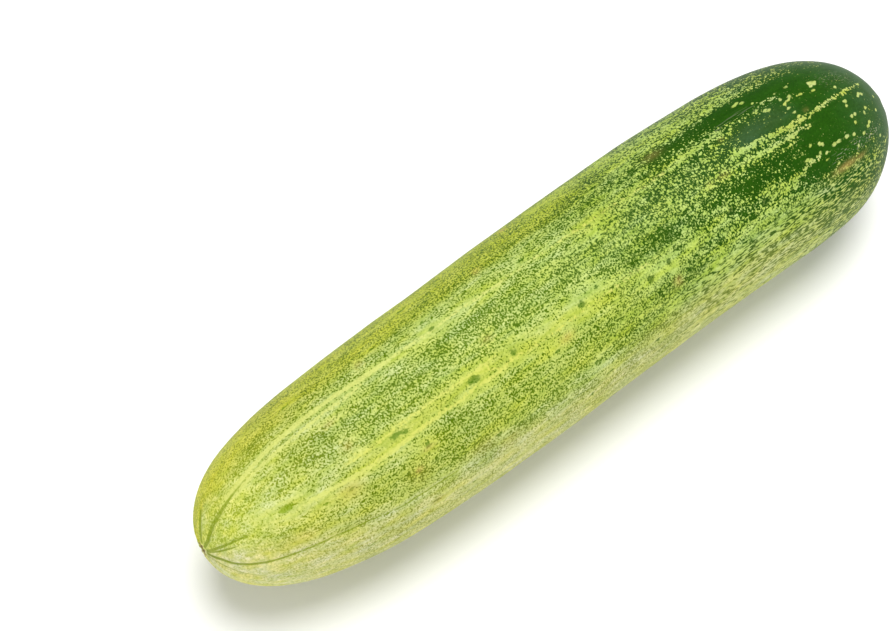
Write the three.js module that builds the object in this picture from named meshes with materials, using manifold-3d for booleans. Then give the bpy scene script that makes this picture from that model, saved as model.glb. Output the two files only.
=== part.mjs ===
// A thick, mottled field cucumber, picked and lying on its side.
//
// Millimetres, +Z up, and z = 0 is the surface it lies on. The fruit runs along X, from the
// blossom end at -X to the stem end at +X. It grew as one piece, so it is one solid: a profile
// turned round the axis, swelled into three blunt sides, bent along a gentle S, and pressed flat
// underneath where it lay on the ground.

import * as THREE from "three";
import { mergeVertices } from "three/addons/utils/BufferGeometryUtils.js";
import Module from "manifold-3d";

// Driving dimensions
const LENGTH = 235; // between the poles of the two end domes
const DIAMETER = 55.5; // of the turned profile, before the taper
const TAPER = 0.02; // how much wider the stem half is than the middle, as a share of the radius
const BARREL = 0.07; // how much narrower both ends are than the middle
const SHOULDER = 0.03; // extra width kept at the stem end's shoulder

// Each end is a superellipse: "reach" says how late the side starts to turn in,
// and "point" how round (2) or blunt-pointed (under 2) the dome then is.
const BLOSSOM_DOME = { reach: 6.3, point: 2.1 };
const STEM_DOME = { reach: 8.7, point: 1.4 };

// The scar where the stalk broke away: a shallow pit with a nearly flat corky floor
const STEM_SCAR = { lip: 5.2, floor: 3.6, depth: 1.1 };
// The scar where the flower dropped off: a small pucker
const BLOSSOM_SCAR = { lip: 2.6, floor: 1.0, depth: 0.7 };

const BOW = 1.4; // sideways bulge of the centreline at the middle
const SWAY = 6.5; // size of the S: one way in the stem half, the other way in the blossom half
const THREE_SIDED = 0.012; // height of the three blunt ridges, as a share of the radius
const GROUND_PRESS = 0.45; // how far the underside is pressed flat

// How finely the surface is divided
const RINGS = 44;
const SIDES = 64;
const SCAR_RINGS = 3;

// Radius of the turned profile at u, from -1 at the blossom pole to 1 at the stem pole
function radiusAt(u) {
  const dome = u < 0 ? BLOSSOM_DOME : STEM_DOME;
  const closing = Math.pow(1 - Math.pow(Math.abs(u), dome.reach), 1 / dome.point);
  const swell = 1 + TAPER * u - BARREL * u * u + SHOULDER * u * u * u;
  return (DIAMETER / 2) * closing * swell;
}

// The u, between the middle and one pole, where the profile has narrowed to a radius
function stationOfRadius(radius, side) {
  let wide = 0;
  let narrow = side;
  for (let step = 0; step < 50; step += 1) {
    const half = (wide + narrow) / 2;
    if (radiusAt(half) > radius) wide = half;
    else narrow = half;
  }
  return (wide + narrow) / 2;
}

// Profile points of a scar, from its centre on the axis out to just inside its lip
function scarProfile(scar, lipX, side) {
  const points = [new THREE.Vector2(0, lipX - side * scar.depth)];
  for (let step = 0; step < SCAR_RINGS; step += 1) {
    const share = step / SCAR_RINGS;
    const radius = THREE.MathUtils.lerp(scar.floor, scar.lip, share);
    const rise = THREE.MathUtils.smoothstep(share, 0, 1);
    points.push(new THREE.Vector2(radius, lipX - side * scar.depth * (1 - rise)));
  }
  return points;
}

// The whole profile, from the blossom scar's centre to the stem scar's centre.
// Its rings crowd together towards the ends, as evenly spaced angles of a half circle do.
function fruitProfile() {
  const uBlossom = stationOfRadius(BLOSSOM_SCAR.lip, -1);
  const uStem = stationOfRadius(STEM_SCAR.lip, 1);
  const middle = (uStem + uBlossom) / 2;
  const reach = (uStem - uBlossom) / 2;
  const skin = [];
  for (let ring = 0; ring <= RINGS; ring += 1) {
    const u = middle - reach * Math.cos((Math.PI * ring) / RINGS);
    skin.push(new THREE.Vector2(radiusAt(u), (u * LENGTH) / 2));
  }
  const blossomScar = scarProfile(BLOSSOM_SCAR, (uBlossom * LENGTH) / 2, -1);
  const stemScar = scarProfile(STEM_SCAR, (uStem * LENGTH) / 2, 1);
  return [...blossomScar, ...skin, ...stemScar.reverse()];
}

// Sideways place of the centreline at u, and its slope along X
function centreline(u) {
  return {
    y: (BOW + SWAY * u) * (1 - u * u),
    slope: (SWAY * (1 - 3 * u * u) - 2 * BOW * u) / (LENGTH / 2),
  };
}

// Moves one point of the turned shape to where it is on the grown fruit
function grow(point) {
  const u = (2 * point.x) / LENGTH;
  const aroundAngle = Math.atan2(point.z, point.y);
  // One ridge is uppermost, so a broad side is underneath
  const lobes = 1 + THREE_SIDED * Math.cos(3 * (aroundAngle - Math.PI / 2));
  const { y, slope } = centreline(u);
  const heading = Math.atan(slope);
  const sideways = point.y * lobes;
  point.x -= Math.sin(heading) * sideways;
  point.y = y + Math.cos(heading) * sideways;
  point.z *= lobes;
}

function turnedFruit() {
  const turned = new THREE.LatheGeometry(fruitProfile(), SIDES);
  turned.deleteAttribute("normal");
  turned.deleteAttribute("uv");
  turned.rotateZ(-Math.PI / 2); // the lathe's axis, +Y, becomes +X
  const places = turned.getAttribute("position");
  const point = new THREE.Vector3();
  for (let i = 0; i < places.count; i += 1) {
    point.fromBufferAttribute(places, i);
    grow(point);
    places.setXYZ(i, point.x, point.y, point.z);
  }
  // Lower the fruit until the part to be pressed flat is under the surface
  turned.computeBoundingBox();
  turned.translate(0, 0, -turned.boundingBox.min.z - GROUND_PRESS);
  return turned;
}

const wasm = await Module();
wasm.setup();

function solidFrom(geometry) {
  const bare = geometry.clone();
  bare.deleteAttribute("normal");
  bare.deleteAttribute("uv");
  const merged = mergeVertices(bare, 1e-3);
  return new wasm.Manifold(
    new wasm.Mesh({
      numProp: 3,
      vertProperties: merged.getAttribute("position").array,
      triVerts: new Uint32Array(merged.index.array),
    }),
  );
}

function geometryFrom(solid) {
  const mesh = solid.getMesh();
  const geometry = new THREE.BufferGeometry();
  geometry.setAttribute("position", new THREE.BufferAttribute(mesh.vertProperties, 3));
  geometry.setIndex(new THREE.BufferAttribute(mesh.triVerts, 1));
  return geometry;
}

// A block under z = 0, larger than the fruit, that takes away what the ground pressed flat
function groundBlock() {
  const thickness = 20;
  const block = new THREE.BoxGeometry(2 * LENGTH, 3 * DIAMETER, thickness);
  return block.translate(0, 0, -thickness / 2);
}

function fruitGeometry() {
  const pressed = solidFrom(turnedFruit()).subtract(solidFrom(groundBlock()));
  const geometry = geometryFrom(pressed);
  // The origin is under the middle of the fruit
  geometry.computeBoundingBox();
  const middle = geometry.boundingBox.getCenter(new THREE.Vector3());
  geometry.translate(-middle.x, -middle.y, 0);
  geometry.computeVertexNormals();
  return geometry;
}

const skin = new THREE.MeshStandardMaterial({
  name: "cucumber_skin",
  color: 0x9db850,
  roughness: 0.42,
  metalness: 0,
});

const cucumber = new THREE.Mesh(fruitGeometry(), skin);
cucumber.name = "cucumber";

const part = new THREE.Group();
part.add(cucumber);

export default part;
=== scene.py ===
# %% [markdown]
# # A mottled field cucumber
# A field cucumber is a fruit, and it grows in one piece, so this lesson makes one piece: a swollen
# cylinder with a skin that is speckled yellow-green at the blossom end and smooth dark green at the
# stem end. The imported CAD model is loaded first. It fixes the size and the place of everything,
# so each length below can be held against it.

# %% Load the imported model
import math

import bmesh
import bpy
import numpy as np
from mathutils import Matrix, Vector


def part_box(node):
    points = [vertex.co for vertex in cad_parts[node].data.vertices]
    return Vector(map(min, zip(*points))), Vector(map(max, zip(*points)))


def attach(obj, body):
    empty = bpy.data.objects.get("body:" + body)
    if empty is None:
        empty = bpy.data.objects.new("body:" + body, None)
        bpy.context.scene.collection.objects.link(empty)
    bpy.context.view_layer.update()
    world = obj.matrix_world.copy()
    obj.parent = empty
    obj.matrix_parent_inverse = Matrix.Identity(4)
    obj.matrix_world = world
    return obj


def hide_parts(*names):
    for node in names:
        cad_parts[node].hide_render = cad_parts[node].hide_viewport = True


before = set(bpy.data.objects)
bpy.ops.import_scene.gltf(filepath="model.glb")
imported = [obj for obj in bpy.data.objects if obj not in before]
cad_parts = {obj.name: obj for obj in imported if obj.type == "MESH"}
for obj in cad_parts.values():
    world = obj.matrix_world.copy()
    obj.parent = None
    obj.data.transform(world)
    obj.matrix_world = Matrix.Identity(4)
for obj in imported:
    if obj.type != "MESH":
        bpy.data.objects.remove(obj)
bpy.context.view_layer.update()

cad_low, cad_high = (Vector(corner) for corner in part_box("cucumber"))
print("CAD fruit, mm:", [round(side * 1000, 1) for side in cad_high - cad_low])

# %% [markdown]
# ## The outline of the fruit
# Seen from the side, a cucumber is nearly a cylinder: it tapers a little to both ends and closes
# in two domes that aren't quite round. A superellipse draws such a dome with two numbers, how late
# the side turns in and how blunt the tip is. They are the same numbers as in the CAD part, in
# metres here, so the fine skin fits the plain solid without any fitting.

# %% Driving dimensions and the radius along the fruit
MM = 0.001
LENGTH = 235 * MM
DIAMETER = 55.5 * MM
TAPER = 0.02
BARREL = 0.07
SHOULDER = 0.03
BLOSSOM_DOME = (6.3, 2.1)
STEM_DOME = (8.7, 1.4)
STEM_SCAR = {"lip": 5.2 * MM, "floor": 3.6 * MM, "depth": 1.1 * MM}
BLOSSOM_SCAR = {"lip": 2.6 * MM, "floor": 1.0 * MM, "depth": 0.7 * MM}
BOW = 1.4 * MM
SWAY = 6.5 * MM
THREE_SIDED = 0.012
GROUND_PRESS = 0.45 * MM


def radius_at(u):
    """Radius at u, from -1 at the blossom pole to 1 at the stem pole."""
    reach, point = BLOSSOM_DOME if u < 0 else STEM_DOME
    closing = (1 - abs(u) ** reach) ** (1 / point)
    return DIAMETER / 2 * closing * (1 + TAPER * u - BARREL * u * u + SHOULDER * u**3)


def station_of(radius, side):
    """The u, between the middle and one pole, where the fruit has narrowed to this radius."""
    wide, narrow = 0.0, side
    for _ in range(50):
        half = (wide + narrow) / 2
        if radius_at(half) > radius:
            wide = half
        else:
            narrow = half
    return half


print("radius, mm:", [round(radius_at(u) / MM, 1) for u in (-0.99, -0.9, -0.5, 0, 0.5, 0.9, 0.99)])

# %% [markdown]
# ## Where the rings of the cage go
# The fruit is built the way a hand would build it: one ring of points, extruded and scaled again
# and again. Rings should crowd where the outline turns, in the domes, and may be far apart on the
# straight flank. So the outline is walked with a measure that counts both the distance and the
# turning, and a ring is set at every equal step of it.

# %% Ring places
RINGS = 35
TURN_WEIGHT = 22 * MM  # how much distance one radian of turning counts for
OUTLINE_STEPS = 1500


def scar_rings(scar, lip_x, side):
    """Rings of a scar's pit as (x, radius), from the centre out to just inside the lip."""
    floor_x = lip_x - side * scar["depth"]
    half_way = (scar["floor"] + scar["lip"]) / 2
    return [
        (floor_x, scar["floor"] * 0.4),
        (floor_x, scar["floor"]),
        (lip_x - side * scar["depth"] * 0.45, half_way),
    ]


u_blossom = station_of(BLOSSOM_SCAR["lip"], -1)
u_stem = station_of(STEM_SCAR["lip"], 1)
swing = np.linspace(0, math.pi, OUTLINE_STEPS)
outline_u = (u_stem + u_blossom) / 2 - (u_stem - u_blossom) / 2 * np.cos(swing)
outline_x = outline_u * LENGTH / 2
outline_r = np.array([radius_at(u) for u in outline_u])
heading = np.unwrap(np.arctan2(np.gradient(outline_r), np.gradient(outline_x)))
walked = np.hypot(np.diff(outline_x), np.diff(outline_r)) + TURN_WEIGHT * np.abs(np.diff(heading))
walked = np.concatenate([[0], np.cumsum(walked)])
ring_steps = np.linspace(0, walked[-1], RINGS)
skin_rings = [
    (float(np.interp(step, walked, outline_x)), float(np.interp(step, walked, outline_r)))
    for step in ring_steps
]
rings = scar_rings(BLOSSOM_SCAR, skin_rings[0][0], -1)
rings += skin_rings
rings += scar_rings(STEM_SCAR, skin_rings[-1][0], 1)[::-1]
print(len(rings), "rings, widest", round(max(r for _, r in rings) / MM, 2), "mm")

# %% [markdown]
# ## The cage
# A circle is added at the blossom scar, standing across the X axis. Each extrude leaves the new
# ring selected, so it is scaled straight away, about its own centre on the axis. The two ends are
# closed by extruding once more and merging that ring into one point. Subdivision pulls a ring of
# 36 points in by half a percent, so the rings are made that much larger.

# %% Extrude the cage ring by ring
SIDES = 36
RING_SWELL = 6 / (4 + 2 * math.cos(2 * math.pi / SIDES))


def close_end():
    bpy.ops.mesh.extrude_region_move()
    bpy.ops.mesh.merge(type="CENTER")


bpy.ops.object.select_all(action="DESELECT")
last_x, last_radius = rings[0]
bpy.ops.mesh.primitive_circle_add(
    vertices=SIDES, radius=last_radius * RING_SWELL, location=(last_x, 0, 0), rotation=(0, math.pi / 2, 0)
)
fruit = bpy.context.object
fruit.name = fruit.data.name = "cucumber_fruit"
bpy.ops.object.transform_apply(location=True, rotation=True, scale=True)
bpy.ops.object.mode_set(mode="EDIT")
bpy.ops.mesh.select_mode(type="VERT")
for x, radius in rings[1:]:
    bpy.ops.mesh.select_all(action="DESELECT")
    cage = bmesh.from_edit_mesh(fruit.data)
    cage.verts.ensure_lookup_table()
    for vertex in cage.verts[-SIDES:]:
        vertex.select_set(True)
    cage.select_flush(True)
    bmesh.update_edit_mesh(fruit.data)
    bpy.ops.mesh.extrude_region_move(TRANSFORM_OT_translate={"value": (x - last_x, 0, 0)})
    growth = radius / last_radius
    bpy.ops.transform.resize(value=(1, growth, growth), center_override=(x, 0, 0))
    last_x, last_radius = x, radius
close_end()
bpy.ops.mesh.select_all(action="DESELECT")
bpy.ops.mesh.select_non_manifold()
close_end()
bpy.ops.mesh.select_all(action="SELECT")
bpy.ops.mesh.normals_make_consistent(inside=False)
bpy.ops.object.mode_set(mode="OBJECT")
print("cage:", len(fruit.data.vertices), "points,", len(fruit.data.polygons), "faces")

# %% [markdown]
# ## A map of the skin
# Peeled off and laid flat, the skin is a strip: the distance from the blossom scar runs one way
# and the angle round the fruit the other. That strip is made now, on the coarse cage, as a UV map,
# and subdivision carries it along. The map is cut along the belly, where nobody sees the seam.
# Every mark on the skin is later placed by these two numbers.

# %% UV strip on the cage
ring_array = np.array(rings)
skin_distance = np.concatenate(
    [[rings[0][1]], np.hypot(*np.diff(ring_array, axis=0).T)]
).cumsum()
SKIN_LENGTH = skin_distance[-1] + rings[-1][1]
print("skin from scar to scar:", round(SKIN_LENGTH / MM, 1), "mm")


def strip_place(point):
    """Place on the strip, 0 to 1 both ways. On the axis the angle has no meaning and is None."""
    radius = math.hypot(point.y, point.z)
    if radius < 1e-6:
        return (0.0 if point.x < 0 else 1.0), None
    misses = np.hypot(ring_array[:, 0] - point.x, ring_array[:, 1] * RING_SWELL - radius)
    side = round((math.degrees(math.atan2(point.z, point.y)) + 90) / 360 * SIDES) % SIDES
    return float(skin_distance[misses.argmin()] / SKIN_LENGTH), side / SIDES


def lay_out_strip(mesh):
    strip = mesh.uv_layers.new(name="OFBake")
    places = [strip_place(vertex.co) for vertex in mesh.vertices]
    for face in mesh.polygons:
        rounds = [places[index][1] for index in face.vertices]
        known = [r for r in rounds if r is not None]
        over_the_cut = max(known) - min(known) > 0.5
        known = [r + 1 if over_the_cut and r < 0.5 else r for r in known]
        for loop_index, vertex_index in zip(face.loop_indices, face.vertices):
            along, around = places[vertex_index]
            if around is None:
                around = sum(known) / len(known)
            elif over_the_cut and around < 0.5:
                around += 1
            strip.data[loop_index].uv = (along, around)


lay_out_strip(fruit.data)

# %% [markdown]
# ## Subdivide
# Three rounds of subdivision turn each face of the cage into 64, about 0.6 mm wide round the fruit.
# That is fine enough for a groove one millimetre wide to be real geometry. The modifier is applied,
# because the marks are painted on its points.

# %% Subdivision surface
SUBDIVISIONS = 3


def apply_modifier(piece, kind, **settings):
    modifier = piece.modifiers.new(kind.title(), kind)
    for name, value in settings.items():
        setattr(modifier, name, value)
    bpy.ops.object.modifier_apply(modifier=modifier.name)


apply_modifier(fruit, "SUBSURF", levels=SUBDIVISIONS, render_levels=SUBDIVISIONS, uv_smooth="NONE")
skin = fruit.data
POINTS = len(skin.vertices)
print("skin:", POINTS, "points,", len(skin.polygons), "faces")

# %% [markdown]
# ## Reading the map back
# Each point of the fine skin now gets its two numbers: `along`, in millimetres of skin from the
# blossom scar, and `around`, in degrees, where 90 is uppermost, 0 is the +Y side and 270 the ground.
# The straight place of each point is kept too, because speckles that are computed from it
# are neither stretched at the ends nor cut at a seam.

# %% Skin distance and angle of every point
straight = np.empty(POINTS * 3)
skin.vertices.foreach_get("co", straight)
straight = straight.reshape(-1, 3)
loop_points = np.empty(len(skin.loops), dtype=int)
skin.loops.foreach_get("vertex_index", loop_points)
strip_uv = np.empty(len(skin.loops) * 2)
skin.uv_layers["OFBake"].uv.foreach_get("vector", strip_uv)
along = np.empty(POINTS)
along[loop_points] = strip_uv.reshape(-1, 2)[:, 0] * SKIN_LENGTH / MM
around = np.degrees(np.arctan2(straight[:, 2], straight[:, 1])) % 360
girth = np.hypot(straight[:, 1], straight[:, 2]) / MM
print("along", along.min().round(2), "to", along.max().round(2), "mm; girth radius to", girth.max().round(2))

# %% [markdown]
# ## Tools for marking the skin
# A mark is a number from 0 to 1 at each point. It could be painted with a brush, but a formula
# gives the same mark each time. A line runs lengthwise through a few places, a spot is an ellipse,
# and a patch lies between two distances and two angles. All fade out softly, and measure across the
# fruit in real millimetres, whatever the girth is there.

# %% Ramps, lines, spots and patches


def smooth_ramp(value, start, end):
    """0 before the start, 1 after the end."""
    share = np.clip((value - start) / (end - start), 0, 1)
    return share * share * (3 - 2 * share)


def across(angle):
    """Millimetres round the skin from an angle to each point, the shorter way."""
    turn = (around - angle + 180) % 360 - 180
    return np.radians(turn) * girth


def line(places, width, fade_in=3, fade_out=12):
    """A lengthwise line through (mm along, degrees round) places, one width in mm or one per place."""
    distances, angles = np.array(places, dtype=float).T
    widths = np.interp(along, distances, np.broadcast_to(width, distances.shape))
    body = np.exp(-((across(np.interp(along, distances, angles)) / (widths / 2)) ** 2))
    ends = smooth_ramp(along, distances[0] - fade_in, distances[0])
    return body * ends * (1 - smooth_ramp(along, distances[-1] - fade_out, distances[-1]))


def spot(distance, angle, length, width):
    """An ellipse of the given length and width in mm, lying along the fruit."""
    lengthwise = (along - distance) / (length / 2)
    crosswise = across(angle) / (width / 2)
    return np.exp(-(lengthwise**2) - crosswise**2)


def patch(first, last, low, high, edge=3.0):
    """A soft-edged area between two distances in mm and two angles in degrees."""
    half_width = np.radians(high - low) / 2 * girth
    off_centre = np.abs(across((low + high) / 2))
    begun = smooth_ramp(along, first - edge, first + edge)
    not_ended = smooth_ramp(-along, -last - edge, -last + edge)
    outside = smooth_ramp(off_centre, half_width - edge / 2, half_width + edge / 2)
    return begun * not_ended * (1 - outside)


print("a spot of 4 by 2 mm covers", int((spot(100, 90, 4, 2) > 0.5).sum()), "points")

# %% [markdown]
# ## Sutures
# Fine seams run out from the blossom scar, like the lines on a balloon's knot. They are where
# the parts of the flower were joined. Near the scar they are wide and green, then they thin out,
# and on the flank one or two go on as a hair-thin furrow. Each is a line through places listed
# for the side that shows. On the far side they follow the same habit at their own angles.

# %% Suture lines
NEAR_SUTURES = [  # (places as (mm along, degrees round), strength on the flank, breadth)
    ([(2, 88), (4, 80), (7, 70), (10, 62), (13, 57), (17, 54)], 0.9, 1.25),
    ([(2, 113), (5, 108), (7, 105), (9, 99), (12, 92.5), (17, 88), (22, 85), (28, 82.3),
      (36, 79.6), (44, 78.6), (50, 77.6), (60, 78.3)], 0.5, 1),
    ([(2, 130), (6, 126), (10, 124), (16, 122.5), (21, 122), (28, 121)], 0.35, 0.7),
    ([(5, 131), (11, 129.5), (17, 128.5), (22, 128)], 0.3, 0.55),
    ([(2, 140), (9.7, 146), (13, 151), (17.5, 153.3), (24, 153.3), (32, 152), (40, 151.7),
      (46, 152.2), (52, 153.5), (57, 155.7), (60, 156.7), (64, 155.7), (75, 156.7), (83, 156.8)], 0.72, 0.8),
    ([(2, 150), (8.5, 158), (15, 168), (20, 173), (31, 179), (40, 181)], 0.2, 0.5),
]
FAR_SUTURES = [  # (degrees round, length in mm, breadth)
    (214, 38, 0.6), (248, 62, 0.9), (286, 30, 0.5), (322, 66, 0.85), (376, 44, 0.6),
]
SEAM_WIDTHS = ([2, 9, 17, 26, 60], [1.2, 1.4, 1.25, 1.05, 1.1])  # mm along, and mm wide there


def suture_mark(places, strength, breadth):
    """A seam that is wide at the scar and thin on the flank."""
    widths = [breadth * np.interp(distance, *SEAM_WIDTHS) for distance, _ in places]
    fading = 1 - (1 - strength) * smooth_ramp(along, 12, 30)
    return line(places, widths, fade_in=1, fade_out=9) * fading


suture = np.zeros(POINTS)
for places, strength, breadth in NEAR_SUTURES:
    suture = np.maximum(suture, suture_mark(places, strength, breadth) * min(1, 0.45 + strength))
for angle, length, breadth in FAR_SUTURES:
    curl = 8 if angle < 270 else -8
    places = [(2, angle - 3 * curl), (9, angle - curl), (17, angle + 2), (30, angle), (length, angle + 1)]
    suture = np.maximum(suture, suture_mark(places, 0.55, breadth) * (0.4 + breadth / 2))
suture *= smooth_ramp(along, 2.2, 4.0)
print(len(NEAR_SUTURES) + len(FAR_SUTURES), "sutures, on", int((suture > 0.3).sum()), "points")

# %% [markdown]
# ## How light the skin is
# The skin is speckled all over: pale yellow-green flecks on green. What changes from place to place
# is the share of pale flecks. It falls from most of the skin at the blossom end to almost none
# at the stem end, and it rises again in pale bands that follow the sutures. On the far flank of
# the stem half it is lowered as painted shade, so that flank looks darker.

# %% Share of pale flecks
SHARE_ALONG = [0, 12, 22, 35, 60, 120, 145, 165, 185, 200, 212, 225, 260]
PALE_SHARE = [0.62, 0.62, 0.60, 0.56, 0.54, 0.54, 0.52, 0.48, 0.38, 0.30, 0.14, 0.05, 0.03]
BROAD_BANDS = [  # (places, width in mm, how much paler)
    ([(24, 84), (36, 79.5), (60, 78), (90, 78), (115, 79)], 5, 0.22),
    ([(100, 79), (128, 80), (150, 81.5), (172, 84), (180, 82)], 4.6, 0.12),
    ([(28, 119), (48, 121), (62, 120), (75, 117), (100, 115), (118, 117), (135, 119)], 8, 0.26),
    ([(118, 119), (132, 120), (150, 122), (165, 124), (182, 126)], 6.5, 0.22),
    ([(10, 144), (15, 149), (29, 148), (50, 150), (70, 153), (90, 156)], 6, 0.16),
    ([(25, 54), (45, 51), (58, 48), (70, 44), (90, 42), (118, 40)], 9, 0.13),
    ([(140, 40), (165, 41), (190, 42), (214, 44), (242, 50)], 10, 0.36),
    ([(165, 102), (182, 102), (196, 102), (206, 103), (217, 103)], 7, 0.07),
    ([(170, 143), (190, 142), (205, 142), (220, 142), (233, 141), (242, 139)], 10, 0.26),
    ([(165, 57), (188, 58), (204, 60), (216, 61), (236, 62)], 8.5, 0.38),
    ([(180, 79), (188, 80), (194, 81)], 5, 0.08),
    ([(195, 129), (202, 129), (208, 125), (214, 128)], 3.4, 0.28),
    ([(205, 168), (220, 168), (236, 167)], 12, 0.14),
]
FAR_PAINTED_SHADE = 0.18  # painted shade: how much darker the far flank is made in the stem half

light = np.interp(along, SHARE_ALONG, PALE_SHARE)
# Painted shade: fewer pale flecks on the far flank of the stem half make it darker.
light -= FAR_PAINTED_SHADE * smooth_ramp(-around, -76, -60) * smooth_ramp(along, 125, 165)
for places, width, paler in BROAD_BANDS:
    light += paler * line(places, width, fade_in=10, fade_out=12)
print(len(BROAD_BANDS), "bands, pale share up to", light.max().round(2))

# %% [markdown]
# ## Clean dark areas
# Between the bands of the stem end lie areas with hardly a fleck, and further down the fruit a few
# that are only a little darker. They come off the same share, so band and area blend where they meet.

# %% Darker patches
DARK_PATCHES = [  # (from mm, to mm, from degrees, to degrees, how much darker)
    (194, 211, 84, 96, 0.45),
    (190, 228, 65, 77, 0.34),
    (170, 190, 67, 76, 0.16),
    (209, 229, 105, 121, 0.40),
    (143, 168, 109, 119, 0.24),
    (176, 200, 107, 118, 0.03),
    (198, 222, 121, 132, 0.20),
    (24, 42, 57, 74, 0.12),
    (69, 84, 120, 127, 0.10),
    (38, 112, 83, 110, 0.05),
    (178, 250, 141, 174, 0.15),
]
for first, last, low, high, darker in DARK_PATCHES:
    light -= darker * patch(first, last, low, high)
print(len(DARK_PATCHES), "patches, pale share from", light.min().round(2))

# %% [markdown]
# ## Beads of the stem end
# In the dark skin near the stem the flecks stand apart, as pale beads. Some keep to thin rows over
# the sutures, and some lie alone. `beads` raises the chance of a bead along the rows, and each lone
# bead is a spot in `dots`.

# %% Beaded rows and single beads
BEADED_ROWS = [  # (places, width in mm)
    ([(188, 98), (199, 98), (208, 100), (214, 100.5), (218, 98.5), (225, 97), (229, 95.5),
      (234, 92.5), (241, 87.5)], 1.5),
    ([(192, 105), (202, 106), (208, 105), (214, 105.5), (217, 103)], 1.5),
    ([(199, 130), (204, 128), (207, 124.5), (211, 125), (214, 128)], 1.5),
    ([(206, 77), (211, 78.5), (212.5, 84)], 1.3),
    ([(175, 82), (185, 82), (192, 80)], 1.2),
]
ROW_STRENGTH = 0.7
BEAD_WIDTH = 1.1
SINGLE_BEADS = [  # (mm along, degrees round, length in mm)
    (211.5, 90, 1.6), (211.8, 94, 1.4), (212.3, 97.5, 1.6), (211.2, 86.5, 1.1), (211.3, 82, 1.3),
    (212.8, 85, 1.7), (214.2, 83, 1.6), (217.2, 85, 1.4), (215.5, 75.5, 1.4), (211.6, 76.5, 1.2),
    (222.2, 79.5, 1.7), (223.3, 81.5, 1.8), (221.9, 82.2, 1.6), (223.8, 79.8, 1.3), (221.5, 86, 1.4),
    (228.5, 101.5, 1.9), (228.2, 105, 1.1), (227.9, 113, 1.6), (229.4, 112.7, 1.6), (228.2, 118, 1.2),
    (229.6, 128, 1.5), (235, 112, 1.5), (233.5, 115, 1.2), (235.6, 99, 1.6), (234.6, 101, 1.2),
    (232.6, 125.5, 1.8), (233.8, 123.5, 1.6), (222.8, 123, 2.2), (217.6, 123, 2.2), (219.2, 122.8, 1.2),
    (220.6, 123, 1.1), (225.6, 124.5, 1.7), (213.2, 118, 1.6), (214.2, 119.2, 1.2), (212, 123, 1.2),
    (214.3, 125, 1.3), (207.2, 122.5, 1.9), (208.4, 123.6, 1.7), (205.3, 84, 1.7), (206.5, 85, 1.5),
    (203.5, 81, 1.4), (204, 75, 1.1), (199.8, 69.5, 1.9), (202.2, 70.5, 2), (201, 68.6, 1.5),
    (196.4, 97.5, 2), (195.6, 99, 1.3), (228.6, 89, 1.4), (213.6, 129, 1.3), (210.4, 116, 1.2),
    (237, 100, 1.2), (237, 140, 1.4), (216.5, 135, 1.2), (225.5, 133, 1.1), (240, 118, 1.2),
    (243.5, 104, 1), (240, 152, 1.5), (236, 160, 1.3),
]
beads = np.zeros(POINTS)
for places, width in BEADED_ROWS:
    beads = np.maximum(beads, ROW_STRENGTH * line(places, width, fade_in=2, fade_out=3))
dots = np.zeros(POINTS)
for distance, angle, length in SINGLE_BEADS:
    dots = np.maximum(dots, spot(distance, angle, 0.95 * length, BEAD_WIDTH))
print(len(BEADED_ROWS), "beaded rows and", len(SINGLE_BEADS), "single beads")

# %% [markdown]
# ## Pale lines
# Beside a suture the skin has hardly any green at all. These lines are only about two millimetres
# wide. Their edges are ragged, which the shader sees to.

# %% Lines without green
PALE_LINES = [  # (places, width in mm, strength)
    ([(22, 82.5), (30, 79), (38, 76), (50, 74.8), (60, 75), (70, 76.5), (84, 77.5)], 1.6, 0.88),
    ([(78, 76.5), (90, 78), (98, 77), (110, 78.8), (122, 79)], 1.5, 0.58),
    ([(24, 87), (32, 83.5), (42, 81.3), (52, 80.2), (62, 80.4), (72, 79)], 1.4, 0.7),
    ([(110, 78.5), (125, 79.5), (145, 81), (165, 83), (178, 82)], 1.6, 0.42),
    ([(40, 121), (52, 121.8), (64, 121.8), (71, 120.3), (80, 119.5), (87, 119.8)], 1.5, 0.78),
    ([(82, 120), (92, 119), (98, 120), (104, 118), (112, 117)], 1.5, 0.6),
    ([(52, 113.5), (62, 113), (70, 111.5), (82, 111), (96, 111.5), (106, 112.5)], 1.4, 0.56),
    ([(104, 119), (116, 120), (130, 120), (145, 119.5), (160, 120)], 1.7, 0.42),
    ([(24, 113), (32, 112.5), (38, 114), (44, 116)], 1.5, 0.6),
    ([(30, 122.5), (36, 121.5), (42, 121)], 1.5, 0.5),
    ([(96, 114), (101, 120), (106, 121)], 1.6, 0.6),
]
pale_line = np.zeros(POINTS)
for places, width, strength in PALE_LINES:
    pale_line = np.maximum(pale_line, strength * line(places, width, fade_in=5, fade_out=9))
print(len(PALE_LINES), "pale lines, on", int((pale_line > 0.3).sum()), "points")

# %% [markdown]
# ## The far side
# The same habit goes on where the sutures of the far side run: pale bands along them in the
# blossom half, and a beaded row or a clean dark area between them at the stem end.

# %% Bands of the far side
CLEAN_ANGLES = (14, 300, 338)
for angle, length, _ in FAR_SUTURES:
    light += 0.26 * line([(20, angle), (70, angle + 1), (130, angle + 3)], 5.0, 8, 30)
    light += 0.30 * line([(150, angle + 4), (190, angle + 6), (228, angle + 3)], 6.5, 14, 10)
    wandering = [(22, angle + 1), (50, angle + 2), (80, angle), (110, angle + 2), (150, angle + 4)]
    pale_line = np.maximum(pale_line, 0.75 * line(wandering, 1.8, 6, 30))
    beads = np.maximum(beads, line([(196, angle + 5), (214, angle + 3), (240, angle)], 1.4, 3, 5))
for angle in CLEAN_ANGLES:
    light -= 0.30 * patch(192, 228, angle - 7, angle + 7)
print("clean areas at", CLEAN_ANGLES)

# %% [markdown]
# ## The belly
# The side that lay on the soil got no sun. It stays pale cream, and its flecks are faint and drawn
# out along the fruit. `pale` is the cream itself, `underside` the wider area round it, and `streaky`
# says where the flecks are drawn out.

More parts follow.
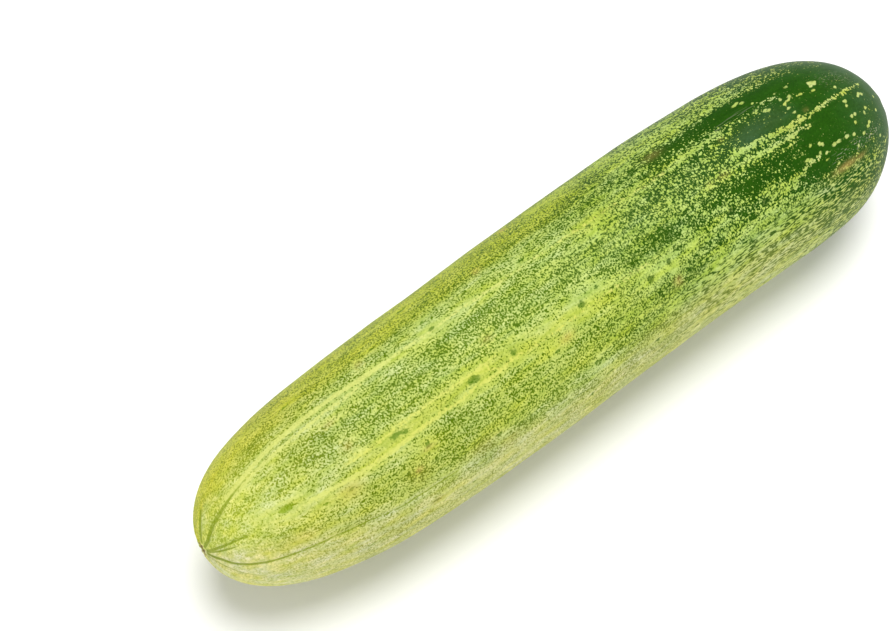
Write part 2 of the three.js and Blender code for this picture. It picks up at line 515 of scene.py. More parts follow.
# %% Pale belly
BELLY_ALONG = [10, 20, 30, 45, 60, 80, 120, 150, 180, 205, 235]
BELLY_EDGE = [122, 128, 136, 144, 149, 152, 155, 151, 147, 149, 158]  # degrees where the belly begins
belly_edge = np.interp(along, BELLY_ALONG, BELLY_EDGE)
pale = smooth_ramp(around, belly_edge - 6, belly_edge + 20) * (1 - smooth_ramp(around, 276, 300))
pale *= 1 - 0.4 * smooth_ramp(along, 175, 220) - 0.6 * smooth_ramp(along, 218, 245)
underside = smooth_ramp(around, 136, 150) * (1 - smooth_ramp(around, 275, 300))
light += 0.10 * pale
light += 0.16 * underside * smooth_ramp(along, 150, 190) * (1 - smooth_ramp(along, 232, 248))
light += 0.05 * underside * smooth_ramp(along, 170, 200)
streaky = underside * smooth_ramp(along, 130, 175)
print("belly on", int((pale > 0.5).sum()), "points")

# %% [markdown]
# ## Depth of green, and yellow
# `green` says how dark the green between the flecks is: it deepens towards the stem, and it is
# lighter where the flecks are dense. Two or three broad bands are tinted yellow, where the fruit
# begins to ripen. The far edge of the blossom half is tinted yellow too, partly as ripening and
# partly as painted shade, which takes the pale sheen off the far rim.

# %% Green and yellow
GREEN_ALONG = [0, 20, 35, 60, 120, 145, 165, 190, 212, 260]
DEPTH_OF_GREEN = [0, 0.08, 0.21, 0.36, 0.44, 0.58, 0.70, 0.82, 1, 1]
YELLOW_BANDS = [  # (places, width in mm, fade in, fade out, strength)
    # The first band, along the far edge, is partly ripening and partly painted shade.
    ([(20, 56), (45, 50), (58, 48), (75, 44), (100, 41), (140, 38)], 13, 10, 40, 1.0),
    ([(60, 116), (100, 116), (130, 121), (150, 126)], 7, 14, 18, 0.6),
    ([(145, 80), (172, 83), (190, 80)], 5, 14, 10, 0.6),
]
green = np.interp(along, GREEN_ALONG, DEPTH_OF_GREEN)
green -= 0.30 * np.clip(light - 0.2, 0, 0.6) * smooth_ramp(along, 170, 205)
# Painted shade, with some ripening: the far edge of the blossom half is yellowed and its sheen dulled.
yellow = (1 - smooth_ramp(np.abs(around - 42), 14, 30)) * (1 - smooth_ramp(along, 150, 215))
for places, width, fade_in, fade_out, strength in YELLOW_BANDS:
    yellow = np.maximum(yellow, strength * line(places, width, fade_in, fade_out))
yellow = np.maximum(yellow, 0.4 * patch(22, 185, 122, 150, 6))
yellow *= 1 - 0.85 * smooth_ramp(along, 135, 175)
print("green from", green.min().round(2), "to", green.max().round(2))

# %% [markdown]
# ## Pits
# A spiny cucumber loses its spines as it ripens, and each leaves a small sunken wart scar:
# a dark green dash with a pale rim. Those that show best are listed one by one, and a seeded
# draw scatters more over the far side.

# %% Pits and their rims
PITS = [  # (mm along, degrees round, length, width)
    (33, 117.3, 5, 2.2), (66.5, 115.3, 5.4, 1.6), (69, 116.5, 3, 1.4), (91.5, 115, 4.6, 2.6),
    (104.8, 115.5, 2.2, 2.8), (127.7, 116.4, 2.8, 2.3), (134, 113.4, 1.8, 1.2), (72, 130, 2.2, 2),
    (90.6, 151.5, 3, 1.3), (124.3, 151.6, 2.2, 1.6), (127, 164, 2.6, 1.1), (120, 171.3, 1.5, 1.3),
    (143.7, 166.5, 2.2, 1.3), (148.6, 128, 3, 2.3), (155.7, 126.5, 1.8, 2.4), (143.7, 83, 2.3, 1.2),
    (153.4, 61.5, 2.8, 1.1), (123.2, 74.7, 2.4, 1.1), (91.7, 76.7, 2.8, 1.1), (115.2, 130, 2.6, 1.2),
    (42, 127.5, 2.4, 0.9), (91.2, 45.2, 3.4, 1.4), (48.5, 55, 2.8, 1.2), (49.5, 128, 2.6, 1),
    (68.4, 168, 3.2, 1.1), (80.3, 173.7, 1.7, 1.2), (178.9, 123.5, 3.4, 2.4), (190, 129.5, 3, 2.4),
    (182.6, 100.9, 2.2, 1), (164.3, 112, 1.9, 1.9), (158.3, 180.8, 1.7, 1.3), (183.7, 171, 1.8, 1.1),
    (76, 62, 1.8, 1), (91.5, 69, 1.6, 1.4),
]
FAR_PITS = 34
draw = np.random.default_rng(41)
far_pits = [
    (draw.uniform(30, 200), draw.uniform(186, 392), draw.uniform(1.8, 4.2), draw.uniform(1.1, 2.2))
    for _ in range(FAR_PITS)
]
pit = np.zeros(POINTS)
rim = np.zeros(POINTS)
for distance, angle, length, width in PITS + far_pits:
    halo = spot(distance, angle, length * 1.7 + 1.2, width * 1.8 + 1.2)
    core = spot(distance, angle, length, width)
    pit = np.maximum(pit, 0.9 * core)
    rim = np.maximum(rim, np.clip(halo - 1.2 * core, 0, 1))
print(len(PITS + far_pits), "pits")

# %% [markdown]
# ## Rubbed scars and rust
# Where a leaf rubbed the young fruit it healed as a faint ring, pale and slightly raised, with a
# warm middle. Smaller rubs are only rust-coloured specks. The same draw scatters more of them.

# %% Scars and rust specks
SCARS = [  # (mm along, degrees round, length, width)
    (54.4, 105, 4.0, 3.8), (54, 88, 5.2, 2.0), (70.6, 66.5, 3.6, 3.2), (101, 101, 4.5, 2.6), (69, 168, 6, 3),
]
RUST = [  # (mm along, degrees round, length, width, strength)
    (67.2, 140.3, 1.8, 1.8, 0.8), (67, 144, 8, 7, 0.16), (119.4, 126.5, 4.2, 2.4, 0.5),
    (155.7, 139, 2.6, 3.0, 0.5), (112.3, 61, 1.8, 2.6, 0.4), (129.2, 36, 2.2, 3.2, 0.7),
    (72, 132, 3.8, 1.4, 0.45), (183, 104, 4.5, 2.0, 0.2), (172, 68, 6, 3, 0.25), (93, 160, 9, 5, 0.2),
    (219, 139.5, 9, 2.0, 0.62), (225, 140.5, 5, 1.6, 0.4), (189.4, 85.4, 2, 1.2, 0.2),
    (113, 60, 3, 3, 0.25), (215.4, 96, 1.6, 1.3, 0.22), (86, 152, 12, 5, 0.20),
    (49.5, 128, 6.5, 4.4, 0.32), (178, 104, 2.4, 2.2, 0.18), (33, 141, 8, 4, 0.2),
]
FAR_RUST = 14
rust = np.zeros(POINTS)
for distance, angle, length, width in SCARS:
    healed = spot(distance, angle, length * 1.15, width * 1.15)
    ring = healed - 1.5 * spot(distance, angle, length * 0.75, width * 0.75)
    rim = np.maximum(rim, 0.9 * np.clip(ring, 0, 1))
    pale_line = np.maximum(pale_line, 1.8 * np.clip(ring, 0, 0.45))
    rust = np.maximum(rust, 0.35 * spot(distance, angle, length * 0.7, width * 0.7))
far_rust = [
    (draw.uniform(30, 200), draw.uniform(190, 390), draw.uniform(1.5, 5), draw.uniform(1.2, 2.6),
     draw.uniform(0.2, 0.8))
    for _ in range(FAR_RUST)
]
for distance, angle, length, width, strength in RUST + far_rust:
    rust = np.maximum(rust, strength * spot(distance, angle, length, width))
light = light + 0.55 * np.clip(rim, 0, 1) * (1 - smooth_ramp(along, 165, 200))
print(len(SCARS), "scars and", len(RUST + far_rust), "rust specks")

# %% [markdown]
# ## Bloom, painted sheen and scratches
# A thin wax bloom dulls the dark skin in one clean area and round the stem; its pale blue-grey is partly
# painted sheen, a soft reflection laid into the colour. Dry hairline scratches, from handling, lie in
# a few places of the stem end. Only their areas are marked here, and the shader draws the hairs.

# %% Bloom, painted sheen and scratched areas
# Wax bloom and painted sheen: a paler blue-grey green over the dark skin in one clean area and round the
# stem.
bloom_and_sheen = patch(192, 211, 84, 97, 5) + 0.35 * patch(186, 200, 85, 95, 5)
bloom_and_sheen = bloom_and_sheen + 0.8 * smooth_ramp(along, 220, 238)
scratched = patch(216, 238, 129, 135)
scratched = scratched + 0.4 * patch(190, 204, 75, 80, 2) + 0.4 * patch(226, 236, 74, 86)
scratched = np.maximum(scratched, 0.3 * patch(205, 228, 20, 40) + 0.3 * patch(200, 226, 300, 330))
print("scratches on", (scratched > 0.2).sum(), "points")

# %% [markdown]
# ## Scars at the two ends
# The flower leaves a small tan pucker, and the stalk a corky disc with a dark green lip, in which
# ten vessels ended. `cork` marks both scars, so a dry finish can be mixed in there, `scar_ring` the
# vessels and the creases, and `dry_rim` the dried skin round the disc.

# %% Cork of the scars
VESSELS = 10


def ring_mark(distance, radius, breadth):
    """A thin ring round a pole, by the distance from it in mm."""
    return np.exp(-(((distance - radius) / breadth) ** 2))


to_stem_scar = SKIN_LENGTH / MM - along
stem_lip = STEM_SCAR["lip"] / MM + 0.6
cork = 1 - smooth_ramp(along, 1.6, 2.7)
cork = np.maximum(cork, 1 - smooth_ramp(to_stem_scar, stem_lip - 1.5, stem_lip - 0.6))
vessels = 0.55 + 0.45 * np.cos(np.radians(around) * VESSELS)
scar_ring = ring_mark(to_stem_scar, 2.7, 0.45) * vessels
scar_ring = np.maximum(scar_ring, 0.9 * ring_mark(to_stem_scar, 4.9, 0.5))
scar_ring = np.maximum(scar_ring, 0.8 * ring_mark(along, 1.5, 0.4))
dry_rim = 1 - smooth_ramp(to_stem_scar, stem_lip, stem_lip + 7)
print("corky points:", int((cork > 0.5).sum()))

# %% [markdown]
# ## Relief
# Colour alone would look printed on. The sutures and the pits are pressed in, and the rims round the
# pits stand up, by fractions of a millimetre. Each is a vertex group that a Displace modifier
# moves along the normal. Creases pucker the skin towards both scars in the same way.

# %% Displace by vertex groups
SUTURE_DEPTH = 0.42 * MM
PIT_DEPTH = 0.34 * MM
RIM_HEIGHT = 0.12 * MM
PUCKER_DEPTH = 0.3 * MM
PLEAT_DEPTH = 0.28 * MM
VESSEL_DEPTH = 0.2 * MM
LEAST_WEIGHT = 0.02


def weight_group(piece, name, weights):
    group = piece.vertex_groups.new(name=name)
    for index in np.flatnonzero(weights > LEAST_WEIGHT):
        group.add([int(index)], float(min(weights[index], 1)), "REPLACE")
    return group.name


def creases(count):
    """Folds that run to the pole, evenly spaced round the fruit."""
    return 0.5 + 0.5 * np.cos(np.radians(around) * count)


pucker = creases(11) * smooth_ramp(along, 0.8, 2.4) * (1 - smooth_ramp(along, 3, 6))
pleats = creases(9) * (1 - smooth_ramp(to_stem_scar, 4.5, 12)) * smooth_ramp(to_stem_scar, 2.6, 4.5)
for name, weights, height in (
    ("suture", suture, -SUTURE_DEPTH),
    ("pit", pit, -PIT_DEPTH),
    ("rim", rim, RIM_HEIGHT),
    ("pucker", pucker, -PUCKER_DEPTH),
    ("stem_pleats", pleats, -PLEAT_DEPTH),
    ("scar_ring", scar_ring, -VESSEL_DEPTH),
):
    group_name = weight_group(fruit, name, weights)
    apply_modifier(fruit, "DISPLACE", vertex_group=group_name, strength=height, mid_level=0)
    print(name, "moved by up to", round(height / MM, 2), "mm")

# %% [markdown]
# ## Crumbs and lumps
# Cork is crumbly, and the whole fruit has the slight lumpiness of something that grew. Both are
# Displace modifiers driven by a cloud texture, a fine one on the scars and a broad one everywhere.

# %% Displace by cloud textures
CRUMB_SIZE = 1.1 * MM
CRUMB_HEIGHT = 0.35 * MM
LUMP_SIZE = 26 * MM
LUMP_HEIGHT = 0.55 * MM


def roughen(name, size, height, group=""):
    """Move the skin in and out by a cloud texture, everywhere or in one vertex group."""
    texture = bpy.data.textures.new(name, "CLOUDS")
    texture.noise_scale = size
    clouds = {"texture": texture, "texture_coords": "LOCAL", "mid_level": 0.5}
    apply_modifier(fruit, "DISPLACE", vertex_group=group, strength=height, **clouds)
    print(name, round(size / MM, 1), "mm wide")


roughen("cork_crumbs", CRUMB_SIZE, CRUMB_HEIGHT, weight_group(fruit, "cork", cork))
roughen("grown_lumps", LUMP_SIZE, LUMP_HEIGHT)

# %% [markdown]
# ## Grow it crooked
# Until now the fruit is straight and round. Three carpels give it three blunt sides, it bends in
# a gentle S as it grows, and its own weight pressed it flat on the ground. These are the same
# formulas as the solid's, so they are applied to the points directly: a Curve modifier would bend
# along a drawn curve, and drift away from the CAD by a few tenths of a millimetre.

# %% Three sides, S bend and flat underside


def grow(points):
    u = np.clip(2 * points[:, 0] / LENGTH, -1, 1)
    turn = np.arctan2(points[:, 2], points[:, 1])
    lobes = 1 + THREE_SIDED * np.cos(3 * (turn - math.pi / 2))
    centre = (BOW + SWAY * u) * (1 - u * u)
    slope = np.arctan((SWAY * (1 - 3 * u * u) - 2 * BOW * u) / (LENGTH / 2))
    sideways = points[:, 1] * lobes
    x = points[:, 0] - np.sin(slope) * sideways
    y = centre + np.cos(slope) * sideways
    return np.column_stack([x, y, points[:, 2] * lobes])


relief = np.empty(POINTS * 3)
skin.vertices.foreach_get("co", relief)
grown = grow(relief.reshape(-1, 3))
grown[:, 2] += outline_r.max() * (1 - THREE_SIDED) - GROUND_PRESS
grown[:, 2] = np.maximum(grown[:, 2], 0)
middle = (grown[:, :2].max(axis=0) + grown[:, :2].min(axis=0)) / 2
grown[:, :2] += np.array((cad_low + cad_high)[:2]) / 2 - middle
skin.vertices.foreach_set("co", grown.ravel())
skin.update()
fruit.vertex_groups.clear()
bpy.ops.object.shade_smooth()
print("visual fruit, mm:", ((grown.max(axis=0) - grown.min(axis=0)) / MM).round(1))

# %% [markdown]
# ## Hand the marks to the material
# Each mark becomes a named attribute of the mesh, and so does the straight place of each point.
# The shader reads them by name, so the colours stay on the skin however it is bent.

# %% Attributes
MARKS = {
    "light": light, "green": green, "pale": pale, "yellow": yellow, "suture": suture, "pit": pit,
    "rust": rust, "beads": beads, "dots": dots, "cork": cork, "pale_line": pale_line, "bloom_and_sheen": bloom_and_sheen,
    "scratched": scratched, "streaky": streaky, "scar_ring": scar_ring, "dry_rim": dry_rim,
}
for name, values in MARKS.items():
    attribute = skin.attributes.new(name, "FLOAT", "POINT")
    attribute.data.foreach_set("value", np.clip(values, 0, 1).astype("f"))
attribute = skin.attributes.new("straight", "FLOAT_VECTOR", "POINT")
attribute.data.foreach_set("vector", straight.ravel().astype("f"))
print(len(MARKS), "marks on", POINTS, "points")

# %% [markdown]
# ## Tools for materials
# Colours are written as the hex values that a painter would pick, and turned to the linear light
# that the renderer needs. One function adds a node, sets it up and links it.

# %% Colour and node helpers


def linear(hex_code):
    """A hex colour as linear red, green, blue and alpha."""
    channels = [int(hex_code[i : i + 2], 16) / 255 for i in (0, 2, 4)]
    return tuple(c / 12.92 if c <= 0.04045 else ((c + 0.055) / 1.055) ** 2.4 for c in channels) + (1.0,)


def node(tree, kind, inputs, stops=(), **settings):
    """Add a node, set it, fill its inputs with values or sockets, and give back its outputs."""
    made = tree.nodes.new("ShaderNode" + kind)
    for name, value in settings.items():
        setattr(made, name, value)
    for number, (position, hex_code) in enumerate(stops):
        elements = made.color_ramp.elements
        stop = elements[number] if number < 2 else elements.new(position)
        stop.position = position
        stop.color = linear(hex_code)
    for key, value in inputs.items():
        if isinstance(value, bpy.types.NodeSocket):
            tree.links.new(value, made.inputs[key])
        else:
            made.inputs[key].default_value = value
    return made.outputs


def new_material(name):
    material = bpy.data.materials.new(name)
    material.use_nodes = True
    material.node_tree.nodes.clear()
    return material, material.node_tree


print("mid green:", linear("4F6C08"))

# %% [markdown]
# ## Patterns of the skin
# Every pattern below is made in one of two ways. A stretched noise gives streaks, because skin cells
# lengthen with the fruit. A cut turns any soft height into flecks with an edge: it is 1 over a
# level and 0 under it. A painted mark plus a little noise, cut like that, gets a torn edge.

# %% Stretched noise, cut and torn edge
RAGGED_MM = 0.9  # how coarse the torn edges of lines and pits are


def per_metre(size_mm):
    return 1 / (size_mm * MM)


def stretched_noise(tree, place, size_mm, detail):
    """Noise whose cells have one length along the fruit and one width across it."""
    lengthwise, crosswise = (per_metre(size) for size in size_mm)
    scale = (lengthwise, crosswise, crosswise)
    squeezed = node(tree, "Mapping", {"Vector": place, "Scale": scale})[0]
    return node(tree, "TexNoise", {"Vector": squeezed, "Scale": 1, "Detail": detail})["Fac"]


def cut(tree, height, level, softness):
    """1 where the height is over the level, 0 where it is under, with a soft edge."""
    low = node(tree, "Math", {0: level, 1: softness}, operation="SUBTRACT")[0]
    high = node(tree, "Math", {0: level, 1: softness}, operation="ADD")[0]
    span = {"Value": height, "From Min": low, "From Max": high}
    return node(tree, "MapRange", span, interpolation_type="SMOOTHSTEP")["Result"]


def ragged(tree, at, name, tear):
    """A painted mark with crisp, torn edges in place of its soft ones."""
    noise = stretched_noise(tree, at["place"], (RAGGED_MM, RAGGED_MM), 2)
    swing = node(tree, "Math", {0: noise, 1: 0.5}, operation="SUBTRACT")[0]
    torn = node(tree, "Math", {0: swing, 1: tear, 2: at[name]}, operation="MULTIPLY_ADD")[0]
    return cut(tree, torn, 0.45, 0.15)


print("torn edges:", RAGGED_MM, "mm")

# %% [markdown]
# ## The speckle
# The flecks are about half a millimetre wide. In the middle of the fruit they touch and make a net,
# so they are a noise with cells of that size, cut at a level that the share of flecks sets. Near the
# stem they stand apart as round beads, which Voronoi cells draw: each cell has one lot, and has a
# bead if its lot is lower than the share. Towards the belly the net is drawn out into streaks.

# %% Share, net, beads and the whole speckle
FLECK_MM = 0.5
BEAD_MM = 0.9  # spacing of the larger beads
SMALL_BEAD_MM = 0.6
STREAKY_MM = (1.7, 0.5)  # length and width of the flecks near the belly
STREAK_MM = (28, 3.2)  # length and width of the faint lengthwise streaks
BLOTCH_MM = (7, 3.5)


def fleck_share(tree, at):
    """Share of pale flecks at each place: the painted mark, roughened by streaks and blotches."""
    share = node(tree, "Math", {0: at["light"], 1: 0.55}, operation="SUBTRACT")[0]
    for size_mm, detail, swing in ((STREAK_MM, 3, 0.6), (BLOTCH_MM, 2, 0.5)):
        noise = stretched_noise(tree, at["place"], size_mm, detail)
        share = node(tree, "Math", {0: noise, 1: swing, 2: share}, operation="MULTIPLY_ADD")[0]
    return share


def net_of_flecks(tree, at, share):
    """Dense fine speckle, the pale and the green in about equal parts, with soft edges."""
    grain = stretched_noise(tree, at["place"], (FLECK_MM, FLECK_MM), 1)
    drawn_out = stretched_noise(tree, at["place"], STREAKY_MM, 1)
    height = node(tree, "Mix", {"Factor": at["streaky"], "A": grain, "B": drawn_out})["Result"]
    level = node(tree, "Math", {0: share, 1: -0.32, 2: 0.66}, operation="MULTIPLY_ADD")[0]
    return cut(tree, height, level, 0.085)


def single_beads(tree, at, spacing_mm, share):
    """Round beads, each in its own cell. A cell has a bead if its lot is lower than the share."""
    cells = node(tree, "TexVoronoi", {"Vector": at["place"], "Scale": per_metre(spacing_mm)})
    lot = node(tree, "SeparateColor", {"Color": cells["Color"]})[0]
    luck = node(tree, "Math", {0: share, 1: lot}, operation="SUBTRACT")[0]
    size = node(tree, "MapRange", {"Value": luck, "From Max": 0.4, "To Max": 0.66})["Result"]
    dome = node(tree, "Math", {0: size, 1: cells["Distance"]}, operation="SUBTRACT")[0]
    return cut(tree, dome, 0.02, 0.10)


def flecks(tree, at):
    """The speckle itself, 0 on the green and 1 on a pale fleck."""
    share = fleck_share(tree, at)
    net = net_of_flecks(tree, at, share)
    fewer = node(tree, "Math", {0: share, 1: 0.36}, operation="SUBTRACT")[0]
    apart = net_of_flecks(tree, at, fewer)
    for spacing_mm, part in ((BEAD_MM, 0.55), (SMALL_BEAD_MM, 1.25)):
        chance = node(tree, "Math", {0: share, 1: part, 2: at["beads"]}, operation="MULTIPLY_ADD")[0]
        beaded = single_beads(tree, at, spacing_mm, chance)
        apart = node(tree, "Math", {0: apart, 1: beaded}, operation="MAXIMUM")[0]
    near_stem = cut(tree, at["green"], 0.62, 0.16)
    off_belly = node(tree, "Math", {0: 1.0, 1: at["streaky"]}, operation="SUBTRACT")[0]
    on_flank = node(tree, "Math", {0: near_stem, 1: off_belly}, operation="MULTIPLY")[0]
    speckle = node(tree, "Mix", {"Factor": on_flank, "A": net, "B": apart})["Result"]
    dots_too = {0: speckle, 1: ragged(tree, at, "dots", 0.35)}
    return node(tree, "Math", dots_too, operation="MAXIMUM")[0]


print("flecks of", FLECK_MM, "mm, beads", BEAD_MM, "and", SMALL_BEAD_MM, "mm apart")

# %% [markdown]
# ## The colours of the skin
# Four colour ramps, read by the depth of green, hold the tones: green and fleck, each on the flank
# and on the belly. Living skin is never even, so three noises then shift the tone, from long lemon
# and creamy streaks to a fine grain. Last come thin coats, one for each kind of mark.

# %% Tones and coats
DARK_GREEN = [
    (0.0, "9FAC3C"), (0.28, "647814"), (0.42, "4F6C08"), (0.62, "2C4E02"), (0.82, "1C4402"), (1.0, "1E4804"),
]
FLECK_GREEN = [
    (0.0, "C4CB68"), (0.28, "B1BC6C"), (0.42, "AABA60"), (0.62, "A3B95A"), (0.82, "9FB658"), (1.0, "A5B260"),
]
BELLY_DARK = [(0.0, "B8B96C"), (0.28, "949848"), (0.6, "7E8838"), (0.9, "5E7230")]
BELLY_FLECK = [(0.0, "CCCB8C"), (0.28, "BDBE7C"), (0.9, "B4BA70")]
PIT_GREEN = [(0.1, "869C10"), (0.34, "4E7410"), (0.6, "2A5008"), (0.8, "1C3A08")]
RIPENING_AND_SHADE_TINT = (0.97, 0.90, 0.40, 1)  # what the yellow tint does to red, green and blue: ripening, and painted shade on the far edge
SCRATCH_MM = (11, 0.4)  # length and width of the dry hairline scratches
TONE_DRIFTS = [  # (length and width in mm, detail, tone where low, tone where high)
    ((12, 3.0), 2, (1.03, 1.0, 0.66, 1), (0.98, 1.0, 1.36, 1)),
    ((7, 2.0), 3, (0.80, 0.86, 0.60, 1), (1.18, 1.12, 1.40, 1)),
    ((0.7, 0.7), 2, (0.80, 0.84, 0.70, 1), (1.18, 1.15, 1.25, 1)),
]


def coat(tree, colour, tone, share, strength=1.0, blend="MIX"):
    """One more coat: a tone laid over the colour, by a mark times a strength."""
    cover = node(tree, "Math", {0: share, 1: strength}, operation="MULTIPLY")[0]
    over = {"Factor": cover, "A": colour, "B": tone}
    return node(tree, "Mix", over, data_type="RGBA", blend_type=blend)["Result"]


def depth_tone(tree, at, stops):
    """The tone that a row of stops has at this depth of green."""
    return node(tree, "ValToRGB", {"Fac": at["green"]}, stops=stops)["Color"]


def speckled_tones(tree, at, pale_fleck):
    """Green and fleck on flank and belly, with the dull wax bloom and painted sheen on the green."""
    green_tone = depth_tone(tree, at, DARK_GREEN)
    green_tone = coat(tree, green_tone, depth_tone(tree, at, BELLY_DARK), at["pale"], 0.9)
    # Wax bloom with painted sheen, laid into the green.
    green_tone = coat(tree, green_tone, linear("34502A"), at["bloom_and_sheen"], 0.6)
    fleck_tone = depth_tone(tree, at, FLECK_GREEN)
    fleck_tone = coat(tree, fleck_tone, depth_tone(tree, at, BELLY_FLECK), at["pale"], 0.9)
    return coat(tree, green_tone, fleck_tone, pale_fleck)


def skin_colour(tree, at, pale_fleck):
    """The speckled tones, drifting, with a coat for each kind of mark."""
    colour = speckled_tones(tree, at, pale_fleck)
    for size_mm, detail, low_tone, high_tone in TONE_DRIFTS:
        noise = stretched_noise(tree, at["place"], size_mm, detail)
        swing = node(tree, "MapRange", {"Value": noise, "From Min": 0.28, "From Max": 0.72})["Result"]
        drift = coat(tree, low_tone, high_tone, swing)
        colour = coat(tree, colour, drift, 1.0, blend="MULTIPLY")
    hairs = cut(tree, stretched_noise(tree, at["place"], SCRATCH_MM, 1), 0.62, 0.03)
    scratches = node(tree, "Math", {0: hairs, 1: at["scratched"]}, operation="MULTIPLY")[0]
    colour = coat(tree, colour, linear("C4CA70"), ragged(tree, at, "pale_line", 1.2), 0.78)
    # Yellow tint: ripening on the bands, and painted shade along the far edge of the blossom half.
    colour = coat(tree, colour, RIPENING_AND_SHADE_TINT, at["yellow"], blend="MULTIPLY")
    colour = coat(tree, colour, linear("7A8C14"), ragged(tree, at, "suture", 0.35), 0.75)
    colour = coat(tree, colour, depth_tone(tree, at, PIT_GREEN), ragged(tree, at, "pit", 0.9), 0.75)
    colour = coat(tree, colour, linear("BC9858"), at["rust"], 0.7)
    colour = coat(tree, colour, linear("5C6238"), at["dry_rim"], 0.55)
    return coat(tree, colour, linear("A9A98C"), scratches, 0.6)


print(len(DARK_GREEN), "depths of green,", len(TONE_DRIFTS), "drifts of tone")

# %% [markdown]
# ## Cork, and the skin as one material
# Cucumber skin is one living layer with a thin natural wax: satin, a little glossier on the dark green
# and drier on the pale flecks. The two scars are cork, which is tan, dry and rough. They grow out of
# the same skin, so the `cork` mark mixes them into one material. Two separate materials would meet
# at a hard edge.

# %% The skin material
CORK_MM = 0.5
CORK_TONES = [(0.3, "857544"), (0.7, "B9AA76")]
FLECK_BUMP = 0.035 * MM


def cork_colour(tree, at):
    """Tan cork, with the vessels and creases darker."""
    grain = stretched_noise(tree, at["place"], (CORK_MM, CORK_MM), 3)
    tan = node(tree, "ValToRGB", {"Fac": grain}, stops=CORK_TONES)["Color"]
    return coat(tree, tan, linear("4E4A22"), at["scar_ring"], 0.8)


def cucumber_skin():
    """Waxed living skin: satin, with the IOR of plant wax, about 1.45, and a faint even gloss."""
    material, tree = new_material("cucumber_skin")
    at = {name: node(tree, "Attribute", {}, attribute_name=name)["Fac"] for name in MARKS}
    at["place"] = node(tree, "Attribute", {}, attribute_name="straight")["Vector"]
    pale_fleck = flecks(tree, at)
    colour = coat(tree, skin_colour(tree, at, pale_fleck), cork_colour(tree, at), at["cork"])
    satin = node(tree, "MapRange", {"Value": pale_fleck, "To Min": 0.44, "To Max": 0.52})["Result"]
    dry = {0: at["cork"], 1: 0.4, 2: satin}
    roughness = node(tree, "Math", dry, operation="MULTIPLY_ADD")[0]
    bump = node(tree, "Bump", {"Height": pale_fleck, "Distance": FLECK_BUMP, "Strength": 0.8})[0]
    finish = {
        "Base Color": colour, "Roughness": roughness, "Normal": bump,
        "IOR": 1.45, "Specular IOR Level": 0.05,
    }
    shader = node(tree, "BsdfPrincipled", finish)[0]
    node(tree, "OutputMaterial", {"Surface": shader})
    return material


skin.materials.clear()
skin.materials.append(cucumber_skin())
print("skin material:", len(skin.materials[0].node_tree.nodes), "nodes")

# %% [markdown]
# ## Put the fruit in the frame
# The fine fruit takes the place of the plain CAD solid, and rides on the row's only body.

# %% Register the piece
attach(fruit, "root")
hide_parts("cucumber")

# %% [markdown]
# ## The table
# The fruit lies on a plain white table. A plane is enough, because nobody sees its edge, and it is
# wide enough to bounce white light onto the belly.

# %% White table
TABLE_SIZE = 6.0
bpy.ops.object.select_all(action="DESELECT")
bpy.ops.mesh.primitive_plane_add(size=TABLE_SIZE, location=(0, 0, 0))
table = bpy.context.object
table.name = table.data.name = "white_table"


def white_table_paint():
    """Matt white laminate, with no grain that would show from here."""
    material, tree = new_material("white_table_paint")
    finish = {"Base Color": linear("F4F4F2"), "Roughness": 0.9, "Specular IOR Level": 0.1}
    shader = node(tree, "BsdfPrincipled", finish)[0]
    node(tree, "OutputMaterial", {"Surface": shader})
    return material


table.data.materials.append(white_table_paint())

print("table of", TABLE_SIZE, "m")

# %% [markdown]
# ## The white room
# A plain world colour would light every side alike. This one is brightest level with the table, like
# white walls. It is dimmer overhead, where the lamp takes over, and on the far side.

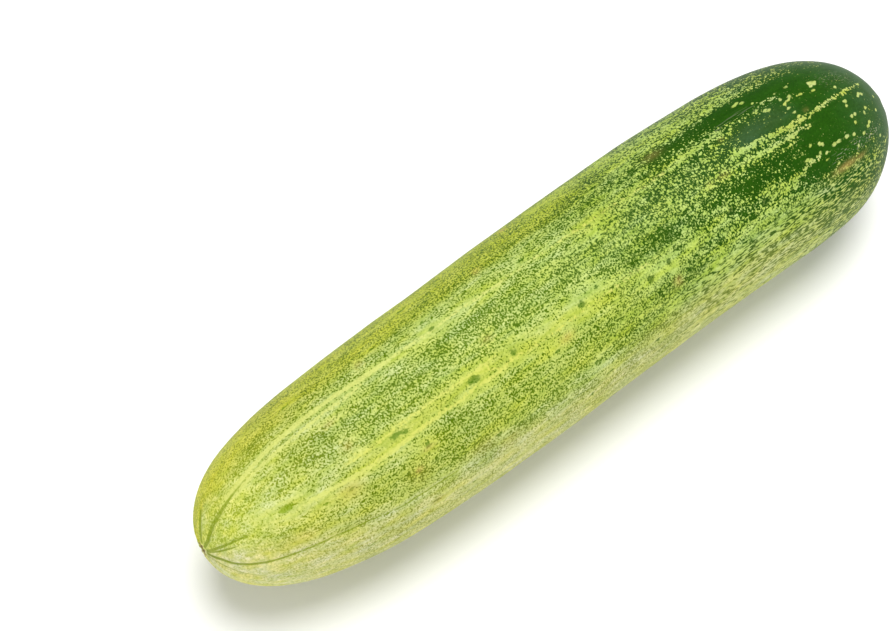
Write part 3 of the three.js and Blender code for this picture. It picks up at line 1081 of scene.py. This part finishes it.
# %% White room
WALL_GLOW = 1.6
CEILING_GLOW = 0.3
FAR_WALL = 0.45  # share of that light that the wall on the far side gives
room = bpy.data.worlds.new("white_room")
room.use_nodes = True
room_tree = room.node_tree
room_tree.nodes.clear()
way = node(room_tree, "TexCoord", {})["Generated"]
direction = node(room_tree, "SeparateXYZ", {"Vector": way})
upwards = {"Value": direction["Z"], "To Min": WALL_GLOW, "To Max": CEILING_GLOW}
by_height = node(room_tree, "MapRange", upwards)["Result"]
farwards = {"Value": direction["Y"], "From Min": -0.2, "From Max": 0.8, "To Min": 1.0, "To Max": FAR_WALL}
by_side = node(room_tree, "MapRange", farwards)["Result"]
brightness = node(room_tree, "Math", {0: by_height, 1: by_side}, operation="MULTIPLY")[0]
glow = node(room_tree, "Background", {"Color": (1, 1, 1, 1), "Strength": brightness})[0]
node(room_tree, "OutputWorld", {"Surface": glow})
bpy.context.scene.world = room
bpy.context.scene.view_settings.view_transform = "Standard"
print("walls glow at", WALL_GLOW, "and the ceiling at", CEILING_GLOW)

# %% [markdown]
# ## Lamp and camera
# One large soft lamp, high over the far side, lifts the top and puts a short soft shadow on the near
# side. It is a sun with a wide angle, so its light is the same all along the fruit. The camera
# looks down steeply from the near left.

# %% Soft lamp and camera
VIEW_AZIMUTH = math.radians(-36.2)
VIEW_ELEVATION = math.radians(62)
VIEW_DISTANCE = 729.7 * MM
VIEW_ANGLE = math.radians(20)
AIM = Vector((-15.1, 28.1, 0)) * MM
LAMP_WAY = Vector((0.20, 0.14, 0.97))
LAMP_SPREAD = math.radians(40)  # how wide the lamp looks from the table
LAMP_POWER = 3.05  # watts per square metre


def look_along(thing, way):
    thing.rotation_euler = way.to_track_quat("-Z", "Y").to_euler()


lamp_data = bpy.data.lights.new("soft_lamp", "SUN")
lamp_data.angle = LAMP_SPREAD
lamp_data.energy = LAMP_POWER
lamp = bpy.data.objects.new("soft_lamp", lamp_data)
bpy.context.scene.collection.objects.link(lamp)
lamp.location = LAMP_WAY.normalized()
look_along(lamp, -LAMP_WAY)

to_camera = Vector(
    (
        math.cos(VIEW_ELEVATION) * math.sin(VIEW_AZIMUTH),
        -math.cos(VIEW_ELEVATION) * math.cos(VIEW_AZIMUTH),
        math.sin(VIEW_ELEVATION),
    )
)
camera_data = bpy.data.cameras.new("camera")
camera_data.sensor_fit = "HORIZONTAL"
camera_data.angle = VIEW_ANGLE
camera = bpy.data.objects.new("camera", camera_data)
bpy.context.scene.collection.objects.link(camera)
camera.location = AIM + to_camera * VIEW_DISTANCE
look_along(camera, -to_camera)
bpy.context.scene.camera = camera
print("camera at, mm:", [round(c / MM) for c in camera.location])
